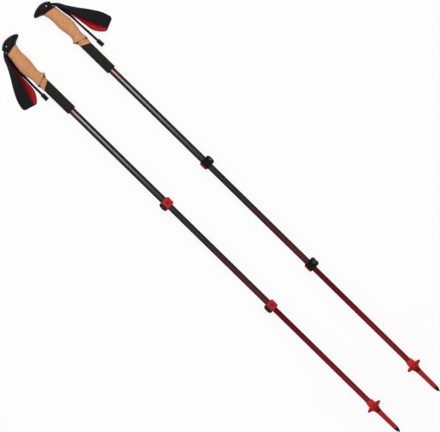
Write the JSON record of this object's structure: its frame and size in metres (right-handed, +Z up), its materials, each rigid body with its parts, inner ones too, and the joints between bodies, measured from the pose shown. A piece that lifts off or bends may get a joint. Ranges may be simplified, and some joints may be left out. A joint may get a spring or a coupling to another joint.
{
  "type": "trekking poles",
  "caption": "Pair of telescoping trekking poles with cork grips, wrist straps, lever locks, small baskets and pointed tips.",
  "frame": {"origin": "middle of the pair's underside, on the surface that both poles lie on", "axes": "+X along the poles towards their tips, +Y from the left pole to the right pole, +Z up"},
  "size_m": [1.4, 0.3228, 0.037],
  "materials": {
    "cork": "granulated natural cork, matt",
    "pommel": "black moulded plastic, satin",
    "foam": "black closed-cell foam",
    "webbing": "black woven webbing",
    "lining": "red brushed lining",
    "tail_tab": "black soft plastic",
    "upper_shaft": "dark grey anodised",
    "mid_shaft": "dark brown anodised",
    "lower_shaft": "dark red anodised",
    "bush": "grey plastic",
    "clamp": "black glass-filled plastic",
    "lever": "red satin plastic",
    "steel": "plated steel",
    "ferrule": "red moulded plastic",
    "tip_collar": "dark red moulded plastic",
    "basket": "red moulded plastic",
    "tip": "sintered carbide"
  },
  "bodies": {
    "left_grip": {"left_pommel": "pommel", "left_strap_pin": "steel", "left_guide_pin": "steel", "left_strap_root": "webbing", "left_cork_grip": "cork", "left_foam_grip": "foam", "left_upper_shaft": "upper_shaft", "left_upper_clamp": "clamp", "left_upper_barrel_nut": "steel"},
    "left_wedge": {"left_strap_wedge": "pommel"},
    "left_strap": {"left_wrist_strap": "webbing", "left_strap_lining": "lining", "left_strap_tail": "webbing", "left_tail_tab": "tail_tab"},
    "left_upper_lever_body": {"left_upper_lever": "lever"},
    "left_upper_screw": {"left_upper_tension_screw": "steel"},
    "left_mid": {"left_mid_shaft": "mid_shaft", "left_mid_bush": "bush", "left_lower_clamp": "clamp", "left_lower_barrel_nut": "steel"},
    "left_lower_lever_body": {"left_lower_lever": "lever"},
    "left_lower_screw": {"left_lower_tension_screw": "steel"},
    "left_lower": {"left_lower_shaft": "lower_shaft", "left_lower_bush": "bush", "left_tip_ferrule": "ferrule", "left_tip_collar": "tip_collar", "left_carbide_tip": "tip"},
    "left_basket_body": {"left_basket": "basket"},
    "right_grip": {"right_pommel": "pommel", "right_strap_pin": "steel", "right_guide_pin": "steel", "right_strap_root": "webbing", "right_cork_grip": "cork", "right_foam_grip": "foam", "right_upper_shaft": "upper_shaft", "right_upper_clamp": "clamp", "right_upper_barrel_nut": "steel"},
    "right_wedge": {"right_strap_wedge": "pommel"},
    "right_strap": {"right_wrist_strap": "webbing", "right_strap_lining": "lining", "right_strap_tail": "webbing", "right_tail_tab": "tail_tab"},
    "right_upper_lever_body": {"right_upper_lever": "lever"},
    "right_upper_screw": {"right_upper_tension_screw": "steel"},
    "right_mid": {"right_mid_shaft": "mid_shaft", "right_mid_bush": "bush", "right_lower_clamp": "clamp", "right_lower_barrel_nut": "steel"},
    "right_lower_lever_body": {"right_lower_lever": "lever"},
    "right_lower_screw": {"right_lower_tension_screw": "steel"},
    "right_lower": {"right_lower_shaft": "lower_shaft", "right_lower_bush": "bush", "right_tip_ferrule": "ferrule", "right_tip_collar": "tip_collar", "right_carbide_tip": "tip"},
    "right_basket_body": {"right_basket": "basket"}
  },
  "joints": [
    {"name": "pair_spacing", "type": "slide", "parent": "left_grip", "child": "right_grip", "axis": [0, 1, 0], "range_m": [0, 0.25]},
    {"name": "left_wedge_pull", "type": "slide", "parent": "left_grip", "child": "left_wedge", "axis": [0, -1, 0], "range_m": [0, 0.006]},
    {"name": "left_strap_swing", "type": "hinge", "parent": "left_grip", "child": "left_strap", "pos_m": [-0.6768, -0.09532, 0.0185], "axis": [0, 0, -1], "range_deg": [0, 70]},
    {"name": "left_upper_lever_open", "type": "hinge", "parent": "left_grip", "child": "left_upper_lever_body", "pos_m": [-0.121, -0.09012, 0.03], "axis": [1, 0, 0], "range_deg": [0, 140]},
    {"name": "left_upper_screw_turn", "type": "hinge", "parent": "left_grip", "child": "left_upper_screw", "pos_m": [-0.121, -0.09012, 0.0185], "axis": [0, 0, 1], "continuous": true},
    {"name": "left_mid_slide", "type": "slide", "parent": "left_grip", "child": "left_mid", "axis": [-1, 0, 0], "range_m": [0, 0.3425]},
    {"name": "left_lower_lever_open", "type": "hinge", "parent": "left_mid", "child": "left_lower_lever_body", "pos_m": [0.2467, -0.08912, 0.03], "axis": [1, 0, 0], "range_deg": [0, 140]},
    {"name": "left_lower_screw_turn", "type": "hinge", "parent": "left_mid", "child": "left_lower_screw", "pos_m": [0.2467, -0.08912, 0.0185], "axis": [0, 0, 1], "continuous": true},
    {"name": "left_lower_slide", "type": "slide", "parent": "left_mid", "child": "left_lower", "axis": [-1, 0, 0], "range_m": [0, 0.329]},
    {"name": "left_basket_release", "type": "slide", "parent": "left_lower", "child": "left_basket_body", "axis": [1, 0, 0], "range_m": [0, 0.115]},
    {"name": "right_wedge_pull", "type": "slide", "parent": "right_grip", "child": "right_wedge", "axis": [0, 1, 0], "range_m": [0, 0.006]},
    {"name": "right_strap_swing", "type": "hinge", "parent": "right_grip", "child": "right_strap", "pos_m": [-0.6768, 0.08528, 0.0185], "axis": [0, 0, 1], "range_deg": [0, 70]},
    {"name": "right_upper_lever_open", "type": "hinge", "parent": "right_grip", "child": "right_upper_lever_body", "pos_m": [-0.121, 0.08008, 0.007], "axis": [1, 0, 0], "range_deg": [0, 140]},
    {"name": "right_upper_screw_turn", "type": "hinge", "parent": "right_grip", "child": "right_upper_screw", "pos_m": [-0.121, 0.08008, 0.0185], "axis": [0, 0, 1], "continuous": true},
    {"name": "right_mid_slide", "type": "slide", "parent": "right_grip", "child": "right_mid", "axis": [-1, 0, 0], "range_m": [0, 0.3425]},
    {"name": "right_lower_lever_open", "type": "hinge", "parent": "right_mid", "child": "right_lower_lever_body", "pos_m": [0.2467, 0.0812, 0.00987], "axis": [1, 0, 0], "range_deg": [0, 140]},
    {"name": "right_lower_screw_turn", "type": "hinge", "parent": "right_mid", "child": "right_lower_screw", "pos_m": [0.2467, 0.07881, 0.02112], "axis": [0, 0.2079, -0.9781], "continuous": true},
    {"name": "right_lower_slide", "type": "slide", "parent": "right_mid", "child": "right_lower", "axis": [-1, 0, 0], "range_m": [0, 0.329]},
    {"name": "right_basket_release", "type": "slide", "parent": "right_lower", "child": "right_basket_body", "axis": [1, 0, 0], "range_m": [0, 0.115]}
  ]
}
